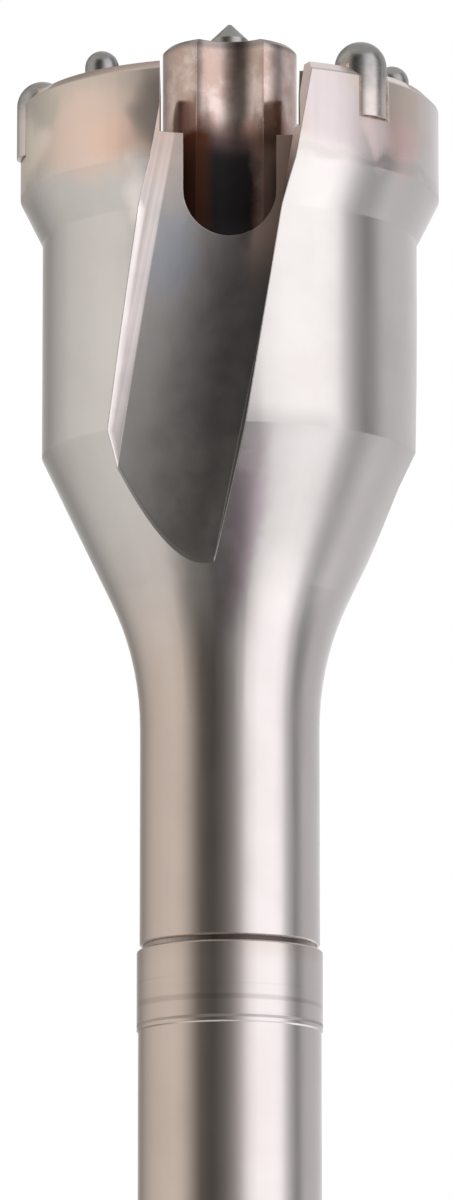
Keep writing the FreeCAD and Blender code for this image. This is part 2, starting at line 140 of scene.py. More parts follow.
# The noise shifts a value by up to plus or minus the reach
def shifted(tree, value, noise, reach):
    return calc(tree, "ADD", value, product(tree, calc(tree, "SUBTRACT", noise, 0.5), 2 * reach))


def bumpOf(tree, height, distance, normal=None):
    inputs = {"Height": height, "Distance": distance, "Strength": 1.0}
    if normal:
        inputs["Normal"] = normal
    return addNode(tree, "ShaderNodeBump", inputs).outputs[0]


def finishMaterial(tree, colour, rough, normal, metallic=1.0):
    inputs = {"Base Color": colour, "Metallic": metallic, "Roughness": rough, "Normal": normal}
    shader = addNode(tree, "ShaderNodeBsdfPrincipled", inputs)
    addNode(tree, "ShaderNodeOutputMaterial", {"Surface": shader.outputs[0]})


# Turned steel: soft rings left by the lathe, upright streaks and cloudy brightness; below the cone a painted
# reflection warms the colour on the left and cools it on the right

turnedLook = {
    "steel": (0.66, 0.635, 0.615),
    "ringFeed": 1.1 * mm,
    "ringHeight": 0.0012 * mm,
    "streakGrain": 900.0,       # noise cells per metre, as in every grain below
    "streakStretch": 0.06,
    "cloudGrain": 120.0,
    "edge": 0.16 * mm,
    # painted reflection cast of the neck and shaft: azimuth and colour
    "reflectionCast": [(-90, (0.90, 0.80, 0.735)), (-24, (0.90, 0.80, 0.735)), (6, (0.84, 0.815, 0.81)),
             (18, (1.0, 0.98, 0.985)), (36, (1.03, 1.015, 1.02)), (43, (1.2, 1.18, 1.19)),
             (54, (0.95, 0.93, 0.93)), (90, (0.97, 0.955, 0.96))],
}


def turnedMarks(tree, coordinate):
    rings = noiseOf(tree, stretched(tree, coordinate, (0.0, 0.0, 1.0)), 1 / turnedLook["ringFeed"], 2.0)
    upright = stretched(tree, coordinate, (1.0, 1.0, turnedLook["streakStretch"]))
    streaks = noiseOf(tree, upright, turnedLook["streakGrain"], 4.0)
    cloud = noiseOf(tree, coordinate, turnedLook["cloudGrain"], 4.0)
    return rings, streaks, cloud


def turnedRoughness(tree, middle, cloud, streaks):
    rough = rangeOf(tree, cloud, 0.25, 0.75, middle - 0.03, middle + 0.05)
    return calc(tree, "ADD", rough, rangeOf(tree, streaks, 0.35, 0.7, 0.0, 0.04))


# The ramp holds half of each colour, because it stops at 1, and the product doubles it again
# Painted reflection: the neck's and the shaft's colour follows the azimuth, warm on the left and brightest at
# 43 degrees
def neckReflectionCast(tree, azimuth):
    place = calc(tree, "ADD", calc(tree, "DIVIDE", azimuth, 180.0), 0.5)
    stops = []
    for degrees, colour in turnedLook["reflectionCast"]:
        stops.append((degrees / 180 + 0.5, tuple(part / 2 for part in colour)))
    return stretched(tree, rampOf(tree, place, stops), (2.0, 2.0, 2.0))


# Normal softened along the edges, as if they had been broken with a file
def softEdge(tree, radius=None):
    node = addNode(tree, "ShaderNodeBevel", {"Radius": radius or turnedLook["edge"]}, samples=6)
    return node.outputs[0]


# Head: turned outside, milled flutes, heat tint that cools down the crown, painted shade deep in the pocket.
# Depths are measured down from the rim, and a turn is an azimuth in degrees from the nearest flute's middle.
# A patch has the turn or azimuth of its centre, its depth in mm, half its width in degrees, half its height
# in mm, its strength and its colour

headLook = {
    # shape of the blank and its flutes
    "bodyRadius": 20 * mm,
    "taperDepth": (10.5 * mm, 15.3 * mm),
    "coneStart": 38.6 * mm,
    "coneSlope": math.tan(math.radians(25.6)),
    "neckDepth": (58 * mm, 60 * mm),
    "fluteLead": 758 * mm,
    # turned skin
    "roughness": 0.15,
    "cloudGrey": (0.5, 0.46, 0.44),
    "cloudStrength": 0.16,
    "broadGrain": 110.0,
    "patchyGrain": 260.0,
    # depths of the neck's painted reflection cast
    "reflectionCastDepth": (46 * mm, 66 * mm),
    # painted shade darkening the upper cone in front: its azimuth, depth and strength
    "coneShadeAzimuth": (-10.0, 10.0, 28.0, 42.0),           # starts, is full, begins to end, ends
    "coneShadeDepth": (36 * mm, 39 * mm, 49 * mm, 57 * mm),
    "coneShadeStrength": 0.2,
    # painted violet reflection on the cone beside each flute's lower end
    "violetReflection": (28, 49, 9, 10, 0.5, (0.50, 0.375, 0.44)),
    # heat tint of the collar
    "beige": (0.67, 0.57, 0.49),
    "straw": (0.56, 0.54, 0.50),
    "tintEnd": 9.8 * mm,
    "tintRoughness": 0.2,
    # milled flute
    "milledRoughness": 0.34,
    "milledHeight": 0.02 * mm,
    "milledPale": (0.395, 0.375, 0.36),
    # painted shade on the floor: its dark colour, and where it lies towards the deep corner and up the head
    "milledShade": (0.20, 0.185, 0.18),
    "floorShadeTurn": (-15.0, 14.0),
    "floorShadeDepth": (26 * mm, 50 * mm),
    "floorShadeStrength": (1.0, 0.35),
    "bluePatch": (-11, 20, 9, 4.6, 0.6, (0.33, 0.36, 0.42)),
    "facet": (0.54, 0.50, 0.48),
    "facetLine": (0.42, 0.385, 0.365),
    # painted highlight along the facet's left edge: its colour and the depth inside the blank where it fades
    "facetHighlight": (0.72, 0.67, 0.65),
    "facetHighlightDepth": (0.35 * mm, 0.8 * mm),
    "facetFoot": (-15.2, -13.8),        # turn where the facet meets the floor
    "facetLean": 8 / (56 * mm),
    "facetFade": (12 * mm, 55 * mm),
    "facetStrength": (0.95, 0.75),
    "warmTop": (0.47, 0.34, 0.285),
    "warmDepth": (6 * mm, 15 * mm),
    "warmStrength": 0.65,
    # painted reflection lightening the wall on the right: its colour and where it lies
    "wall": (0.90, 0.82, 0.78),
    "wallReflectionTurn": (21.0, 22.5),
    "wallReflectionRadius": (17.8 * mm, 18.6 * mm),
    "wallReflectionDepth": (12 * mm, 18 * mm),
    # painted shade in the pocket and down the flute's deep corner
    "scale": (0.016, 0.0145, 0.0155),
    "reddishShade": (0.17, 0.060, 0.030),
    "brown": (0.29, 0.20, 0.16),
    "pocketRadius": (11.6 * mm, 13.6 * mm),
    "pocketShadeSpan": (8 * mm, 21 * mm, 4.5 * mm),      # start, end and soft edge
    "cornerShadeSpan": (8.5 * mm, 20.5 * mm, 9 * mm),
    "cornerShadeTurn": (13.0, 19.0),
    "reddishTurn": (-17.0, -6.0),
    "brownTurn": (9.0, 20.0),
    "deeperTurn": (-4.0, 18.0),
    "deeperBy": 3.5 * mm,
    "shadeRoughness": 0.62,
}
# patches of the collar's heat tint and one painted dark reflection, by their azimuth from the front
tintAndReflectionPatches = [
    (-41, 5.4, 20, 4.6, 0.8, (0.84, 0.65, 0.56)),
    (-33, 6.4, 10, 2.4, 0.5, (0.90, 0.62, 0.50)),
    # a painted dark reflection in a band at the front left of the collar
    (-21, 4.4, 6, 4.6, 0.85, (0.36, 0.315, 0.285)),
    (-29, 11.5, 6, 3.6, 0.8, (0.97, 0.91, 0.87)),
    (-74, 5.6, 13, 4.6, 0.9, (0.96, 0.87, 0.76)),
    (-62, 1.6, 9, 2.0, 0.6, (0.55, 0.52, 0.45)),
    (30, 5.0, 10, 6.0, 0.9, (0.65, 0.585, 0.59)),
    (45, 7.0, 7, 4.0, 0.95, (0.97, 0.83, 0.81)),
    (56, 7.6, 8, 3.4, 0.85, (0.76, 0.57, 0.54)),
    (47, 1.6, 8, 1.8, 0.6, (0.62, 0.58, 0.52)),
    (158, 4.5, 14, 4.0, 0.8, (0.82, 0.62, 0.55)),
    (176, 7.0, 12, 3.0, 0.7, (0.70, 0.56, 0.57)),
    (-158, 3.0, 12, 3.4, 0.8, (0.60, 0.55, 0.46)),
]
# azimuths that the tint leaves bare: middle and half width
barePatches = [(86, 24), (-110, 12)]


# Radius of the turned blank at each depth below the rim: collar, taper, body, cone
def blankRadius(tree, depth):
    body = headLook["bodyRadius"]
    upper = rangeOf(tree, depth, *headLook["taperDepth"], collarRadius, body, smooth=False)
    fall = product(tree, calc(tree, "SUBTRACT", depth, headLook["coneStart"]), headLook["coneSlope"])
    cone = calc(tree, "SUBTRACT", body, fall)
    return calc(tree, "MINIMUM", upper, cone)


# Azimuth measured from the nearest flute's middle, unwound from the helix, in degrees
def fluteAzimuth(tree, azimuth, depth):
    unwound = calc(tree, "ADD", azimuth, product(tree, depth, 360 / headLook["fluteLead"]))
    return calc(tree, "WRAP", unwound, 60.0, -60.0)


# One inside an ellipse of azimuth and depth, falling to nothing at its edge; the azimuth comes back after a
# third of a turn in the flutes and after a whole turn on the collar
def patchOf(tree, azimuth, depth, centre, level, halfWidth, halfHeight, halfTurn=60.0):
    across = calc(tree, "WRAP", calc(tree, "SUBTRACT", azimuth, float(centre)), halfTurn, -halfTurn)
    across = calc(tree, "DIVIDE", across, float(halfWidth))
    down = calc(tree, "DIVIDE", calc(tree, "SUBTRACT", depth, level * mm), halfHeight * mm)
    squares = calc(tree, "ADD", product(tree, across, across), product(tree, down, down))
    return rangeOf(tree, squares, 0.1, 1.5, 1.0, 0.0)


def paintPatch(tree, colour, azimuth, depth, patch, halfTurn=60.0):
    *place, strength, tint = patch
    share = patchOf(tree, azimuth, depth, *place, halfTurn)
    return blendColour(tree, product(tree, share, strength), colour, tint)


# The steel's colour under the heat tint, and how much of the tint lies there
def heatTint(tree, colour, azimuth, depth, warp, fine):
    bentAzimuth = shifted(tree, azimuth, warp, 11.0)
    bentDepth = shifted(tree, shifted(tree, depth, fine, 1.6 * mm), warp, 1.6 * mm)
    bentDepth = calc(tree, "SUBTRACT", bentDepth, rangeOf(tree, azimuth, -30.0, 10.0, 1.3 * mm, 0.0))
    end = headLook["tintEnd"]
    covered = rangeOf(tree, bentDepth, end - 2.6 * mm, end + 0.4 * mm, 0.85, 0.0)
    for centre, halfWidth in barePatches:
        bare = patchOf(tree, bentAzimuth, depth, centre, 6.0, halfWidth, 30.0, 180.0)
        covered = product(tree, covered, calc(tree, "SUBTRACT", 1.0, bare))
    colour = blendColour(tree, covered, colour, headLook["beige"])
    for patch in tintAndReflectionPatches:
        colour = paintPatch(tree, colour, bentAzimuth, bentDepth, patch, 180.0)
    # a straw line ends the tint on the right
    line = bandOf(tree, bentDepth, end - 0.2 * mm, end + 0.1 * mm, 0.7 * mm)
    line = product(tree, line, rangeOf(tree, azimuth, -30.0, 30.0, 0.0, 0.6))
    return blendColour(tree, line, colour, headLook["straw"]), covered


# Turned skin: bare steel, heat tint on the collar, a painted violet reflection beside the flutes' lower ends,
# the neck's painted reflection cast and painted shade that darkens the upper cone in front; comes with how
# much of the tint lies there
def turnedSkin(tree, azimuth, depth, inFlute, cloud, broad, patchy):
    cloudy = rangeOf(tree, cloud, 0.3, 0.75, 0.0, headLook["cloudStrength"])
    skin = blendColour(tree, cloudy, turnedLook["steel"], headLook["cloudGrey"])
    # painted violet reflection on the cone beside each flute's lower end
    skin = paintPatch(tree, skin, shifted(tree, inFlute, patchy, 8.0), depth, headLook["violetReflection"])
    skin, tinted = heatTint(tree, skin, azimuth, depth, broad, patchy)
    # painted reflection cast on the neck
    inNeck = rangeOf(tree, depth, *headLook["reflectionCastDepth"])
    skin = blendColour(tree, inNeck, skin, neckReflectionCast(tree, azimuth), "MULTIPLY")
    # painted shade: the upper cone darker in front
    left, leftFull, rightFull, right = headLook["coneShadeAzimuth"]
    top, topFull, bottomFull, bottom = headLook["coneShadeDepth"]
    coneShade = product(tree, rangeOf(tree, azimuth, left, leftFull),
                   rangeOf(tree, azimuth, rightFull, right, 1.0, 0.0),
                   rangeOf(tree, depth, top, topFull),
                   rangeOf(tree, depth, bottomFull, bottom, headLook["coneShadeStrength"], 0.0))
    return blendColour(tree, coneShade, skin, headLook["scale"]), tinted


# Milled flute: floor with painted shade darker towards its deep corner and up the head, blue temper below
# the pocket, a lined facet with a painted highlight on its left edge, a warm top and a painted reflection
# lightening the wall on the right; comes with the wall's mask
def milledFlute(tree, radius, depth, inFlute, inside, patchy):
    # painted shade darkening the floor towards its deep corner and up the head
    floorShade = rangeOf(tree, inFlute, *headLook["floorShadeTurn"])
    high = rangeOf(tree, depth, *headLook["floorShadeDepth"], *headLook["floorShadeStrength"])
    steel = blendColour(tree, product(tree, floorShade, high), headLook["milledPale"], headLook["milledShade"])
    steel = paintPatch(tree, steel, shifted(tree, inFlute, patchy, 8.0), depth, headLook["bluePatch"])

    foot = calc(tree, "ADD", inFlute, product(tree, depth, headLook["facetLean"]))
    onFacet = product(tree, rangeOf(tree, foot, *headLook["facetFoot"], 1.0, 0.0),
                      rangeOf(tree, depth, *headLook["facetFade"], *headLook["facetStrength"]))
    lines = noiseOf(tree, addNode(tree, "ShaderNodeCombineXYZ", {0: foot}).outputs[0], 0.9, 1.0)
    facet = blendColour(tree, rangeOf(tree, lines, 0.35, 0.65), headLook["facetLine"], headLook["facet"])
    # painted highlight along the facet's edge with the turned skin
    onFacetHighlight = rangeOf(tree, inside, *headLook["facetHighlightDepth"], 1.0, 0.0)
    facet = blendColour(tree, onFacetHighlight, facet, headLook["facetHighlight"])
    steel = blendColour(tree, onFacet, steel, facet)

    bentDepth = shifted(tree, depth, patchy, 4 * mm)
    nearTop = rangeOf(tree, bentDepth, *headLook["warmDepth"], headLook["warmStrength"], 0.0)
    steel = blendColour(tree, nearTop, steel, headLook["warmTop"])
    # painted reflection lightening the wall on the right
    wall = product(tree, rangeOf(tree, inFlute, *headLook["wallReflectionTurn"]),
                   rangeOf(tree, shifted(tree, radius, patchy, 0.3 * mm), *headLook["wallReflectionRadius"]),
                   rangeOf(tree, depth, *headLook["wallReflectionDepth"], 1.0, 0.0))
    return blendColour(tree, wall, steel, headLook["wall"]), wall


# Painted shade in the pocket, black with reddish at its left and brown at its right, and brown painted shade
# down the flute's deep corner; comes with how shaded each place is
def pocketShade(tree, colour, radius, depth, inFlute, milled, wall, patchy):
    # painted shade deep in the pocket and down the flute's deep corner
    deeper = product(tree, rangeOf(tree, inFlute, *headLook["deeperTurn"]), headLook["deeperBy"])
    shadeDepth = calc(tree, "ADD", shifted(tree, depth, patchy, 1.5 * mm), deeper)
    inPocket = product(tree, rangeOf(tree, radius, *headLook["pocketRadius"], 1.0, 0.0),
                       bandOf(tree, shadeDepth, *headLook["pocketShadeSpan"]))
    inCorner = product(tree, rangeOf(tree, shifted(tree, inFlute, patchy, 5.0), *headLook["cornerShadeTurn"]),
                       bandOf(tree, shadeDepth, *headLook["cornerShadeSpan"]), milled,
                       calc(tree, "SUBTRACT", 1.0, wall))
    bentTurn = shifted(tree, inFlute, patchy, 8.0)
    pastReddish = rangeOf(tree, bentTurn, *headLook["reddishTurn"])
    shadeColour = blendColour(tree, pastReddish, headLook["reddishShade"], headLook["scale"])
    shadeColour = blendColour(tree, rangeOf(tree, bentTurn, *headLook["brownTurn"]), shadeColour, headLook["brown"])
    colour = blendColour(tree, product(tree, inCorner, 0.8), colour, headLook["brown"])
    colour = blendColour(tree, inPocket, colour, shadeColour)
    return colour, calc(tree, "MAXIMUM", inPocket, product(tree, inCorner, 0.6))


def headFinish():
    material, tree = newMaterial("headSteel")
    coordinate, parts, radius, azimuth, depth = placeOf(tree)
    rings, streaks, cloud = turnedMarks(tree, coordinate)
    broad = noiseOf(tree, coordinate, headLook["broadGrain"], 2.0)
    patchy = noiseOf(tree, coordinate, headLook["patchyGrain"], 4.0)
    inFlute = fluteAzimuth(tree, azimuth, depth)
    # milled where the surface lies inside the turned blank, above the neck
    inside = calc(tree, "SUBTRACT", blankRadius(tree, depth), radius)
    milled = product(tree, rangeOf(tree, inside, 0.12 * mm, 0.3 * mm),
                     rangeOf(tree, depth, *headLook["neckDepth"], 1.0, 0.0))

    skin, tinted = turnedSkin(tree, azimuth, depth, inFlute, cloud, broad, patchy)
    flute, wall = milledFlute(tree, radius, depth, inFlute, inside, patchy)
    colour = blendColour(tree, milled, skin, flute)
    colour, shaded = pocketShade(tree, colour, radius, depth, inFlute, milled, wall, patchy)

    rough = turnedRoughness(tree, headLook["roughness"], cloud, streaks)
    rough = calc(tree, "ADD", rough, product(tree, tinted, headLook["tintRoughness"]))
    middle = headLook["milledRoughness"]
    rough = blendValue(tree, milled, rough, rangeOf(tree, patchy, 0.3, 0.7, middle - 0.06, middle + 0.06))
    # duller and less metallic where the painted shade lies
    rough = blendValue(tree, shaded, rough, headLook["shadeRoughness"])
    metallic = rangeOf(tree, shaded, 0.2, 0.9, 1.0, 0.55)
    lathe = product(tree, rings, calc(tree, "SUBTRACT", 1.0, milled))
    normal = bumpOf(tree, lathe, turnedLook["ringHeight"], softEdge(tree))
    normal = bumpOf(tree, product(tree, patchy, milled), headLook["milledHeight"], normal)
    finishMaterial(tree, colour, rough, normal, metallic)
    return material


# Stud: turned and ball-milled steel, brown from the torch, with painted shade black at its foot

studLook = {
    "steel": (0.68, 0.56, 0.51),
    "brown": (0.50, 0.37, 0.32),
    "edge": (0.24, 0.22, 0.21),
    "edgeDepth": (0.45 * mm, 1.1 * mm),     # below the stud's top
    # painted shade at the stud's foot: its colours and its depth below the rim
    "thinShade": (0.15, 0.10, 0.10),
    "reddishDeepShade": (0.075, 0.026, 0.013),
    "pocketShadeDepth": (1.8 * mm, 7.6 * mm),      # below the rim
    "reddishTurn": (-27.0, -16.0),             # degrees from the nearest groove's middle
    "brownTurn": (20.0, 32.0),
    "roughness": 0.17,
    "shadeRoughness": 0.6,
    "patchyGrain": 330.0,
    "broadGrain": 140.0,
    "streakGrain": 1300.0,
    "streakStretch": 0.12,
    "streakHeight": 0.004 * mm,
}


def studFinish():
    material, tree = newMaterial("studSteel")
    coordinate, parts, radius, azimuth, depth = placeOf(tree)
    patchy = noiseOf(tree, coordinate, studLook["patchyGrain"], 4.0)
    broad = noiseOf(tree, coordinate, studLook["broadGrain"], 2.0)
    upright = stretched(tree, coordinate, (1.0, 1.0, studLook["streakStretch"]))
    streaks = noiseOf(tree, upright, studLook["streakGrain"], 3.0)
    colour = blendColour(tree, rangeOf(tree, patchy, 0.34, 0.62), studLook["steel"], studLook["brown"])
    below = calc(tree, "SUBTRACT", studTopZ, parts[2])
    topEdge = rangeOf(tree, below, *studLook["edgeDepth"], 0.75, 0.0)
    colour = blendColour(tree, topEdge, colour, studLook["edge"])
    # painted shade round each groove: reddish on its left, black in the middle, brown on its right
    inGroove = shifted(tree, calc(tree, "WRAP", azimuth, 60.0, -60.0), patchy, 7.0)
    leftOf = rangeOf(tree, inGroove, *studLook["reddishTurn"], 1.0, 0.0)
    rightOf = rangeOf(tree, inGroove, *studLook["brownTurn"])
    thin = blendColour(tree, leftOf, studLook["thinShade"], headLook["reddishShade"])
    thin = blendColour(tree, rightOf, thin, headLook["brown"])
    thick = blendColour(tree, leftOf, headLook["scale"], studLook["reddishDeepShade"])
    thick = blendColour(tree, rightOf, thick, headLook["brown"])
    shaded = rangeOf(tree, shifted(tree, depth, broad, 2.2 * mm), *studLook["pocketShadeDepth"])
    colour = blendColour(tree, rangeOf(tree, shaded, 0.0, 0.55), colour, thin)
    colour = blendColour(tree, rangeOf(tree, shaded, 0.45, 1.0), colour, thick)
    middle = studLook["roughness"]
    rough = rangeOf(tree, streaks, 0.3, 0.7, middle - 0.04, middle + 0.07)
    rough = blendValue(tree, shaded, rough, studLook["shadeRoughness"])
    metallic = rangeOf(tree, shaded, 0.3, 1.0, 1.0, 0.5)
    normal = bumpOf(tree, streaks, studLook["streakHeight"], softEdge(tree))
    finishMaterial(tree, colour, rough, normal, metallic)
    return material


# Shaft: drawn and ground bar, irregular turned lines on its band, a straw tint from the weld; depths are
# measured down from the weld

shaftLook = {
    "steel": (0.66, 0.635, 0.615),
    "cloudGrey": (0.56, 0.51, 0.48),
    "cloudStrength": 0.2,
    "straw": (0.50, 0.42, 0.36),
    "strawDepth": (0.4 * mm, 3.0 * mm),
    "strawStrength": 0.4,
    "roughness": 0.16,
    "lined": (2.6 * mm, 7.8 * mm),
    "lineFeed": 1.1 * mm,
    "lineHeight": 0.01 * mm,
    # where the band ends painted shade darkens it; the dirt and that painted shade share one colour
    "bandEdge": (8.4 * mm, 8.6 * mm),
    "dirtAndShade": (0.22, 0.19, 0.18),
    "dirtAndShadeStrength": 0.3,
}


def shaftFinish():
    material, tree = newMaterial("shaftSteel")
    coordinate, parts, radius, azimuth, depth = placeOf(tree)
    rings, streaks, cloud = turnedMarks(tree, coordinate)
    below = calc(tree, "SUBTRACT", seamZ, parts[2])
    cloudy = rangeOf(tree, cloud, 0.3, 0.75, 0.0, shaftLook["cloudStrength"])
    colour = blendColour(tree, cloudy, shaftLook["steel"], shaftLook["cloudGrey"])
    # painted reflection cast, warm on the left and cool on the right, as on the neck
    colour = blendColour(tree, 1.0, colour, neckReflectionCast(tree, azimuth), "MULTIPLY")
    nearWeld = rangeOf(tree, below, *shaftLook["strawDepth"], shaftLook["strawStrength"], 0.0)
    colour = blendColour(tree, nearWeld, colour, shaftLook["straw"])
    # dirt in the turned lines, and painted shade where the band ends
    lined = bandOf(tree, below, *shaftLook["lined"], 0.6 * mm)
    lines = noiseOf(tree, stretched(tree, coordinate, (0.02, 0.02, 1.0)), 1 / shaftLook["lineFeed"], 1.0)
    inLines = product(tree, rangeOf(tree, lines, 0.52, 0.7), lined)
    bandEdge = bandOf(tree, below, *shaftLook["bandEdge"], 0.1 * mm)
    dirtyAndShaded = calc(tree, "MAXIMUM", inLines, bandEdge)
    colour = blendColour(tree, product(tree, dirtyAndShaded, shaftLook["dirtAndShadeStrength"]), colour, shaftLook["dirtAndShade"])
    rough = turnedRoughness(tree, shaftLook["roughness"], cloud, streaks)
    rough = calc(tree, "ADD", rough, product(tree, bandEdge, 0.3))
    normal = bumpOf(tree, rings, turnedLook["ringHeight"], softEdge(tree))
    normal = bumpOf(tree, product(tree, lines, lined), shaftLook["lineHeight"], normal)
    finishMaterial(tree, colour, rough, normal)
    return material


# Carbide: ground and tumbled grey, with a painted reflection making it lighter below the rim

carbideLook = {
    "grey": (0.30, 0.30, 0.29),
    "pale": (0.41, 0.40, 0.385),
    # painted reflection lighter below the rim: its colour and depth
    "paleReflection": (0.60, 0.55, 0.52),
    "paleReflectionDepth": (0.2 * mm, 3.4 * mm),
    "roughness": 0.24,
    "grain": 1500.0,
    "grainHeight": 0.003 * mm,
    "cloudGrain": 380.0,
    "edge": 0.1 * mm,
}


def carbideFinish():
    material, tree = newMaterial("carbide")
    coordinate, parts, radius, azimuth, depth = placeOf(tree)
    grain = noiseOf(tree, coordinate, carbideLook["grain"], 3.0)
    cloud = noiseOf(tree, coordinate, carbideLook["cloudGrain"], 3.0)
    colour = blendColour(tree, rangeOf(tree, cloud, 0.35, 0.7), carbideLook["grey"], carbideLook["pale"])
    # painted reflection: lighter below the rim
    paleReflection = rangeOf(tree, shifted(tree, depth, cloud, 0.8 * mm), *carbideLook["paleReflectionDepth"])
    colour = blendColour(tree, paleReflection, colour, carbideLook["paleReflection"])
    middle = carbideLook["roughness"]
    rough = rangeOf(tree, grain, 0.3, 0.7, middle - 0.04, middle + 0.06)
    normal = bumpOf(tree, grain, carbideLook["grainHeight"], softEdge(tree, carbideLook["edge"]))
    finishMaterial(tree, colour, rough, normal)
    return material


# Braze filler: dull coppery brown under flux stains, with painted shade black round the stud's foot

brazeLook = {
    "copper": (0.72, 0.56, 0.47),
    "flux": (0.36, 0.28, 0.235),
    "shadeColour": (0.03, 0.02, 0.016),
    "pocketShadeDepth": (4 * mm, 9 * mm),
    "stainGrain": 700.0,
    "stainHeight": 0.03 * mm,
    "edge": 0.12 * mm,
}


def brazeFinish():
    material, tree = newMaterial("brazeFiller")
    coordinate, parts, radius, azimuth, depth = placeOf(tree)
    stain = noiseOf(tree, coordinate, brazeLook["stainGrain"], 4.0)
    colour = blendColour(tree, rangeOf(tree, stain, 0.36, 0.62), brazeLook["copper"], brazeLook["flux"])
    # painted shade black round the stud's foot, deep in the pocket
    shadedBraze = rangeOf(tree, depth, *brazeLook["pocketShadeDepth"])
    colour = blendColour(tree, shadedBraze, colour, brazeLook["shadeColour"])
    rough = rangeOf(tree, stain, 0.3, 0.7, 0.28, 0.5)
    metallic = rangeOf(tree, stain, 0.4, 0.7, 1.0, 0.7)
    normal = bumpOf(tree, stain, brazeLook["stainHeight"], softEdge(tree, brazeLook["edge"]))
    finishMaterial(tree, colour, rough, normal, metallic)
    return material


# Weld line: scaled steel in the shadow between head and shaft, with painted shade darkest in front and paler
# to both sides

weldLook = {
    "scale": (0.05, 0.042, 0.04),
    "ash": (0.16, 0.13, 0.115),
    "pale": (0.42, 0.37, 0.34),
    # painted shade: where the line is darkest, and how far from there it grows paler
    "shadeAzimuth": 14.0,
    "shadeFade": (24.0, 62.0),      # degrees away from the darkest place
    "stainGrain": 900.0,
    "stainHeight": 0.05 * mm,
    "metallic": 0.9,
}


def weldFinish():
    material, tree = newMaterial("weldScale")
    coordinate, parts, radius, azimuth, depth = placeOf(tree)
    stain = noiseOf(tree, coordinate, weldLook["stainGrain"], 4.0)
    dark = blendColour(tree, stain, weldLook["scale"], weldLook["ash"])
    # painted shade: darkest in front, paler to both sides
    away = calc(tree, "ABSOLUTE", calc(tree, "SUBTRACT", azimuth, weldLook["shadeAzimuth"]))
    colour = blendColour(tree, rangeOf(tree, away, *weldLook["shadeFade"]), dark, weldLook["pale"])
    rough = rangeOf(tree, stain, 0.3, 0.7, 0.3, 0.5)
    normal = bumpOf(tree, stain, weldLook["stainHeight"])
    finishMaterial(tree, colour, rough, normal, weldLook["metallic"])
    return material


finishes = {
    "head_steel": headFinish(),
    "stud_steel": studFinish(),
    "shaft_steel": shaftFinish(),
    "carbide": carbideFinish(),
    "braze": brazeFinish(),
    "weld": weldFinish(),
}
slotOfNode = {row["node"]: row["material_slot"] for row in frame["record"]["subparts"]}
for name, node in nodes.items():
    node.data.materials.clear()
    node.data.materials.append(finishes[slotOfNode[name]])
print("finishes:", len(finishes))


# A surface from a grid of points, whose rows run round the bit: each point is joined to the next one in its
# row, the last to the first, and to its neighbours in the next row
def gridMesh(name, points):
    rowCount, count = points.shape[:2]
    place = np.arange(rowCount * count).reshape(rowCount, count)
    place = np.concatenate([place, place[:, :1]], axis=1)
    faces = np.stack([place[:-1, :-1], place[:-1, 1:], place[1:, 1:], place[1:, :-1]], axis=-1).reshape(-1, 4)
    mesh = bpy.data.meshes.new(name)
    mesh.from_pydata(points.reshape(-1, 3).tolist(), [], faces.tolist())
    mesh.polygons.foreach_set("use_smooth", np.ones(len(mesh.polygons), bool))
    mesh.update()
    piece = bpy.data.objects.new(name, mesh)
    bpy.context.scene.collection.objects.link(piece)
    return piece


# Studio: pale floor, white all round, and a tent of grey and bright cloth that the steel mirrors

studio = {
    "floorReach": 4.0,
    "floorColour": (0.82, 0.82, 0.82),
    "tentRadius": 1.6,
    "tentHeights": (-1.9, 2.3),
    "roofLevel": 0.75,
    # azimuth in degrees from the camera's side towards the right, with the cloth's brightness there;
    # upright steel mirrors the upper cloth, the cone and the crown's taper mirror the lower cloth
    "upperCloth": [(-180, 0.9), (-160, 0.42), (-146, 0.36), (-134, 0.53), (-115, 0.76), (-92, 0.88),
                   (-74, 0.92), (-60, 0.80), (-48, 0.44), (-37, 0.15), (-20, 0.10), (-8, 0.19), (4, 0.38),
                   (13, 0.72), (23, 1.28), (36, 1.43), (58, 1.45), (68, 1.34), (77, 0.68), (84, 0.44),
                   (92, 0.27), (99, 0.38), (108, 0.66), (134, 0.70), (154, 0.76), (180, 0.9)],
    "lowerCloth": [(-180, 0.8), (-152, 0.39), (-134, 0.37), (-112, 0.57), (-92, 0.79), (-66, 0.85),
                   (-56, 0.54), (-46, 0.29), (-24, 0.19), (-14, 0.10), (4, 0.20), (13, 0.36), (21, 0.74),
                   (32, 1.32), (48, 1.52), (64, 1.6), (73, 1.36), (82, 0.8), (91, 0.59), (106, 1.12),
                   (134, 1.5), (155, 1.65), (180, 1.15)],
    "clothBlend": (-0.75, 0.0),         # heights between which one cloth gives way to the other
    "warmSide": (1.0, 0.965, 0.93),
    "coolSide": (1.0, 0.98, 1.005),
    "lampPlace": (1.5, -1.3, 1.7),
    "lampSize": 1.2,
    "lampPower": 38.0,
    "worldFill": 0.72,
}


# White where the camera or a mirror ray meets it, and a softer white as light on the bit
def buildWorld():
    world = bpy.data.worlds.new("studioWhite")
    world.use_nodes = True
    tree = world.node_tree
    tree.nodes.clear()
    seen = addNode(tree, "ShaderNodeBackground", {"Color": (1, 1, 1, 1), "Strength": 1.0})
    fill = addNode(tree, "ShaderNodeBackground", {"Color": (1, 1, 1, 1), "Strength": studio["worldFill"]})
    path = addNode(tree, "ShaderNodeLightPath").outputs
    rays = calc(tree, "MAXIMUM", path["Is Glossy Ray"], path["Is Transmission Ray"])
    rays = calc(tree, "MAXIMUM", path["Is Camera Ray"], rays)
    both = addNode(tree, "ShaderNodeMixShader", {0: rays, 1: fill.outputs[0], 2: seen.outputs[0]})
    addNode(tree, "ShaderNodeOutputWorld", {"Surface": both.outputs[0]})
    bpy.context.scene.world = world


